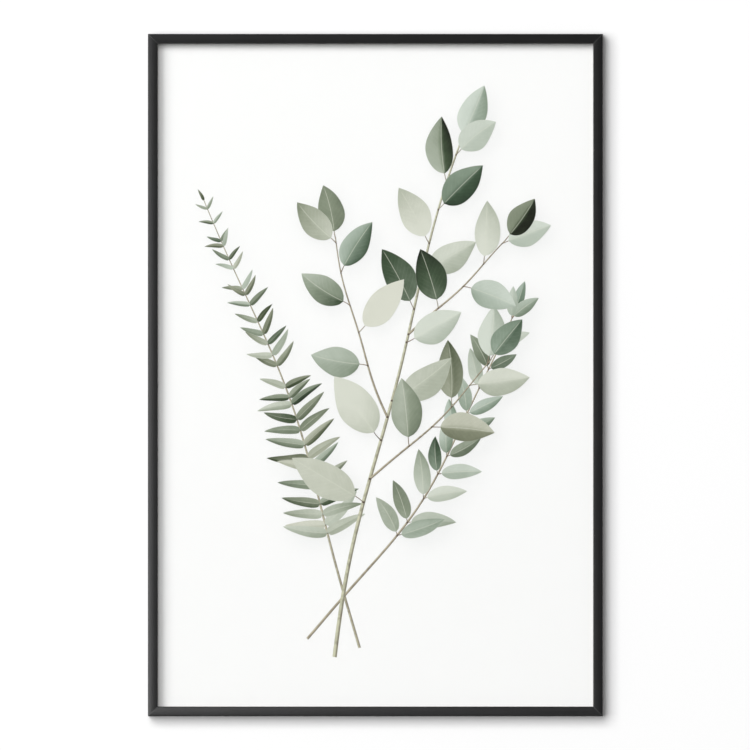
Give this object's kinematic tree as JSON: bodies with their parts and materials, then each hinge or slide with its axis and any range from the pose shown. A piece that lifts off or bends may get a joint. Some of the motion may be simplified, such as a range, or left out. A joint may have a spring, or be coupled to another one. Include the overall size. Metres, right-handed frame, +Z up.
{
  "type": "framed print",
  "caption": "Slim black picture frame with a clear-glazed botanical print, a hardboard back held by bent tabs, and sawtooth hangers for either way up.",
  "frame": {"origin": "the wall hook's point on the wall plane, where the middle notch of the upper hanger rests", "axes": "+Z up, +Y into the wall, so the front faces -Y, and +X to the right as seen from the front"},
  "size_m": [0.4, 0.018, 0.6],
  "materials": {
    "moulding_black": "satin black paint over fine-grained wood, lightly rubbed along its edges",
    "glazing_clear": "clear acrylic sheet, polished",
    "print_paper": "matt white poster paper with a printed botanical design in grey-greens",
    "hardboard_brown": "raw brown hardboard with visible fibres",
    "fixing_steel": "plain spring steel, slightly dull",
    "hanger_zinc": "bright zinc plating"
  },
  "bodies": {
    "root": {"rail_left": "moulding_black", "rail_top": "moulding_black", "rail_right": "moulding_black", "rail_bottom": "moulding_black", "glazing_sheet": "glazing_clear", "print_sheet": "print_paper", "backing_board": "hardboard_brown", "corner_nail_top_left": "fixing_steel", "corner_nail_top_right": "fixing_steel", "corner_nail_bottom_right": "fixing_steel", "corner_nail_bottom_left": "fixing_steel", "tab_left_1": "fixing_steel", "tab_left_2": "fixing_steel", "tab_left_3": "fixing_steel", "tab_left_4": "fixing_steel", "tab_top_1": "fixing_steel", "tab_top_2": "fixing_steel", "tab_top_3": "fixing_steel", "tab_right_1": "fixing_steel", "tab_right_2": "fixing_steel", "tab_right_3": "fixing_steel", "tab_right_4": "fixing_steel", "tab_bottom_1": "fixing_steel", "tab_bottom_2": "fixing_steel", "tab_bottom_3": "fixing_steel", "hanger_portrait": "hanger_zinc", "hanger_landscape": "hanger_zinc", "rivet_portrait_a": "hanger_zinc", "rivet_portrait_b": "hanger_zinc", "rivet_landscape_a": "hanger_zinc", "rivet_landscape_b": "hanger_zinc"}
  },
  "joints": []
}
